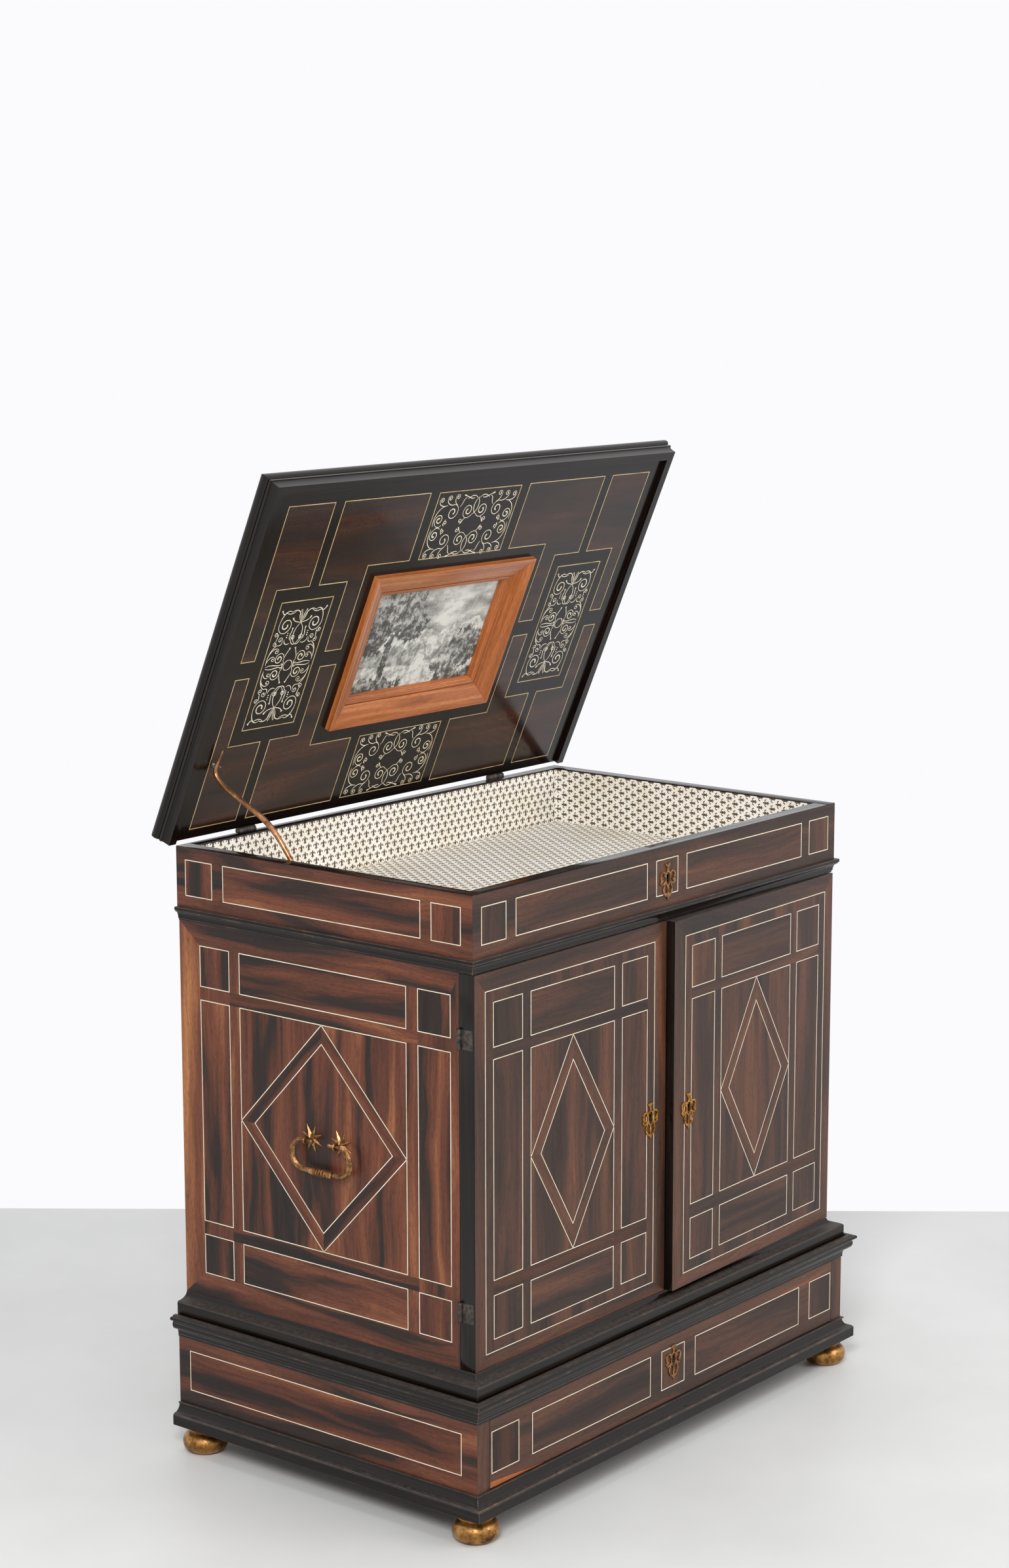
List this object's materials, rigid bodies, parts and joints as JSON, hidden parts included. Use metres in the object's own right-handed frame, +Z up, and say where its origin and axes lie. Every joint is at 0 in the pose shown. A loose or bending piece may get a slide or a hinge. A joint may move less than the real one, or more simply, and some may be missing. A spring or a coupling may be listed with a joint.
{
  "type": "coin cabinet",
  "caption": "Free-standing veneered coin cabinet on bun feet, with a plinth drawer, paired doors over shallow coin drawers, and a paper-lined top tray under a hinged lid held up by a stay.",
  "frame": {"origin": "floor level under the middle of the tray and case", "axes": "+Z up, front with the doors faces -Y, +X to the right seen from the front"},
  "size_m": [0.816, 0.5342, 1.2543],
  "materials": {
    "rosewood": "french polished",
    "ebonised_wood": "satin",
    "carcass_wood": "waxed",
    "drawer_wood": "waxed",
    "frame_wood": "polished",
    "gilt_brass": "fire gilt, worn",
    "bronze": "worn",
    "iron": "dark",
    "paper": "matt"
  },
  "bodies": {
    "cabinet": {"bun_feet": "gilt_brass", "plinth_board": "carcass_wood", "base_moulding": "ebonised_wood", "plinth_left_side": "rosewood", "plinth_right_side": "rosewood", "plinth_back": "carcass_wood", "drawer_runners": "carcass_wood", "plinth_top": "carcass_wood", "plinth_cornice": "ebonised_wood", "case_bottom": "carcass_wood", "cap_moulding": "ebonised_wood", "case_left_side": "rosewood", "case_right_side": "rosewood", "case_back": "carcass_wood", "coin_drawer_runners": "carcass_wood", "tray_floor": "carcass_wood", "waist_moulding": "ebonised_wood", "tray_left_wall": "rosewood", "tray_right_wall": "rosewood", "tray_front_wall": "rosewood", "tray_back_wall": "rosewood", "lining_paper": "paper", "tray_escutcheon": "gilt_brass", "tray_lock": "iron", "fixed_hinge_leaves": "iron", "hinge_pins": "iron", "stay_pivot": "iron", "star_rosettes": "gilt_brass", "bail_eyes": "gilt_brass"},
    "lid": {"lid_panel": "rosewood", "lid_moulding": "ebonised_wood", "picture_frame": "frame_wood", "print_sheet": "paper", "lid_hinge_leaves": "iron", "stay_eye": "iron"},
    "stay": {"stay_rod": "bronze"},
    "left_door": {"left_door": "rosewood", "left_door_escutcheon": "gilt_brass", "left_door_lock": "iron", "left_door_hinge_leaves": "iron"},
    "right_door": {"right_door": "rosewood", "right_door_escutcheon": "gilt_brass", "right_door_lock": "iron", "right_door_hinge_leaves": "iron"},
    "base_drawer": {"drawer_front": "rosewood", "drawer_box": "carcass_wood", "drawer_bottom": "carcass_wood", "drawer_escutcheon": "gilt_brass", "drawer_lock": "iron"},
    "left_bail": {"left_bail": "gilt_brass"},
    "right_bail": {"right_bail": "gilt_brass"},
    "coin_drawer_1": {"coin_drawer_1": "drawer_wood"},
    "coin_drawer_2": {"coin_drawer_2": "drawer_wood"},
    "coin_drawer_3": {"coin_drawer_3": "drawer_wood"},
    "coin_drawer_4": {"coin_drawer_4": "drawer_wood"},
    "coin_drawer_5": {"coin_drawer_5": "drawer_wood"},
    "coin_drawer_6": {"coin_drawer_6": "drawer_wood"},
    "coin_drawer_7": {"coin_drawer_7": "drawer_wood"},
    "coin_drawer_8": {"coin_drawer_8": "drawer_wood"}
  },
  "joints": [
    {"name": "lid_hinge", "type": "hinge", "parent": "cabinet", "child": "lid", "pos_m": [0, 0.2435, 0.785], "axis": [-1, 0, 0], "range_deg": [-66.6, 0]},
    {"name": "stay_swing", "type": "hinge", "parent": "cabinet", "child": "stay", "pos_m": [-0.3525, 0.044, 0.757], "axis": [-1, 0, 0], "range_deg": [-139.9, 0]},
    {"name": "left_door_hinge", "type": "hinge", "parent": "cabinet", "child": "left_door", "pos_m": [-0.3765, -0.21575, 0.448], "axis": [0, 0, -1], "range_deg": [0, 175]},
    {"name": "right_door_hinge", "type": "hinge", "parent": "cabinet", "child": "right_door", "pos_m": [0.3765, -0.21575, 0.448], "axis": [0, 0, 1], "range_deg": [-1.8, 173]},
    {"name": "base_drawer_slide", "type": "slide", "parent": "cabinet", "child": "base_drawer", "axis": [0, -1, 0], "range_m": [0, 0.3]},
    {"name": "left_bail_swing", "type": "hinge", "parent": "cabinet", "child": "left_bail", "pos_m": [-0.387, -0.005, 0.448], "axis": [0, 1, 0], "range_deg": [0, 110]},
    {"name": "right_bail_swing", "type": "hinge", "parent": "cabinet", "child": "right_bail", "pos_m": [0.387, -0.005, 0.448], "axis": [0, -1, 0], "range_deg": [0, 110]},
    {"name": "coin_drawer_1_slide", "type": "slide", "parent": "cabinet", "child": "coin_drawer_1", "axis": [0, -1, 0], "range_m": [0, 0.022]},
    {"name": "coin_drawer_2_slide", "type": "slide", "parent": "cabinet", "child": "coin_drawer_2", "axis": [0, -1, 0], "range_m": [0, 0.022]},
    {"name": "coin_drawer_3_slide", "type": "slide", "parent": "cabinet", "child": "coin_drawer_3", "axis": [0, -1, 0], "range_m": [0, 0.022]},
    {"name": "coin_drawer_4_slide", "type": "slide", "parent": "cabinet", "child": "coin_drawer_4", "axis": [0, -1, 0], "range_m": [0, 0.022]},
    {"name": "coin_drawer_5_slide", "type": "slide", "parent": "cabinet", "child": "coin_drawer_5", "axis": [0, -1, 0], "range_m": [0, 0.022]},
    {"name": "coin_drawer_6_slide", "type": "slide", "parent": "cabinet", "child": "coin_drawer_6", "axis": [0, -1, 0], "range_m": [0, 0.022]},
    {"name": "coin_drawer_7_slide", "type": "slide", "parent": "cabinet", "child": "coin_drawer_7", "axis": [0, -1, 0], "range_m": [0, 0.022]},
    {"name": "coin_drawer_8_slide", "type": "slide", "parent": "cabinet", "child": "coin_drawer_8", "axis": [0, -1, 0], "range_m": [0, 0.022]}
  ],
  "couplings": [
    {"joint": "stay_swing", "follows": "lid_hinge", "ratio": 2.1}
  ]
}
